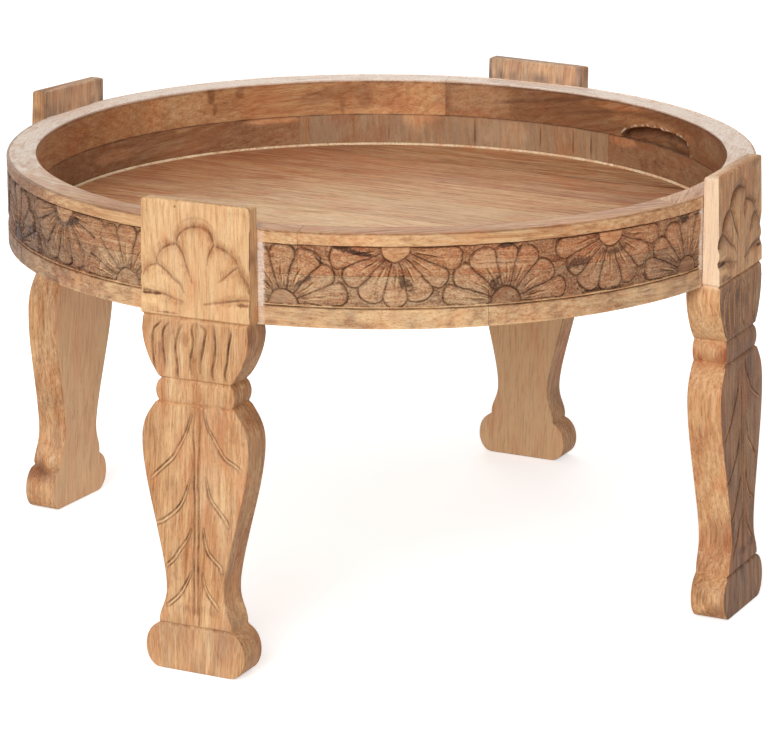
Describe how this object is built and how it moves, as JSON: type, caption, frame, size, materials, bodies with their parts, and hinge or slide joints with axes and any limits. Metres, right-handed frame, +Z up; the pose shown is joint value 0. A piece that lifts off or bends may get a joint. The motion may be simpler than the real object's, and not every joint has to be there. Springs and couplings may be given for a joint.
{
  "type": "low table",
  "caption": "Round bajot low table: a deep carved tray rim with a boarded floor, on splayed sawn plank legs that stand above the rim.",
  "frame": {"origin": "on the floor, below the centre of the round tray", "axes": "+Z up; the four legs stand at -Y (front), +X (right), +Y (back) and -X (left)"},
  "size_m": [0.8013, 0.7996, 0.4557],
  "materials": {
    "leg_wood": "waxed golden hardwood, carved and sanded",
    "rim_upper_wood": "waxed red-brown hardwood, carved outside",
    "rim_lower_wood": "waxed brown hardwood, carved outside",
    "board_wood": "waxed hardwood boards in mixed brown, reddish and grey tones",
    "bead_wood": "pale raw wood",
    "batten_wood": "planed, unwaxed",
    "dowel_wood": "turned, unwaxed",
    "screw_steel": "zinc plated"
  },
  "bodies": {
    "root": {"rim_upper_1": "rim_upper_wood", "rim_upper_2": "rim_upper_wood", "rim_upper_3": "rim_upper_wood", "rim_upper_4": "rim_upper_wood", "rim_upper_5": "rim_upper_wood", "rim_upper_6": "rim_upper_wood", "rim_lower_1": "rim_lower_wood", "rim_lower_2": "rim_lower_wood", "rim_lower_3": "rim_lower_wood", "rim_lower_4": "rim_lower_wood", "rim_lower_5": "rim_lower_wood", "rim_lower_6": "rim_lower_wood", "tray_board_1": "board_wood", "tray_board_2": "board_wood", "tray_board_3": "board_wood", "tray_board_4": "board_wood", "tray_board_5": "board_wood", "tray_board_6": "board_wood", "tray_board_7": "board_wood", "tray_board_8": "board_wood", "tray_bead": "bead_wood", "batten_1": "batten_wood", "batten_2": "batten_wood", "batten_1_screw_1": "screw_steel", "batten_1_screw_2": "screw_steel", "batten_1_screw_3": "screw_steel", "batten_1_screw_4": "screw_steel", "batten_2_screw_1": "screw_steel", "batten_2_screw_2": "screw_steel", "batten_2_screw_3": "screw_steel", "batten_2_screw_4": "screw_steel", "leg_front": "leg_wood", "leg_right": "leg_wood", "leg_back": "leg_wood", "leg_left": "leg_wood", "leg_front_dowel_upper": "dowel_wood", "leg_front_dowel_lower": "dowel_wood", "leg_right_dowel_upper": "dowel_wood", "leg_right_dowel_lower": "dowel_wood", "leg_back_dowel_upper": "dowel_wood", "leg_back_dowel_lower": "dowel_wood", "leg_left_dowel_upper": "dowel_wood", "leg_left_dowel_lower": "dowel_wood"}
  },
  "joints": []
}
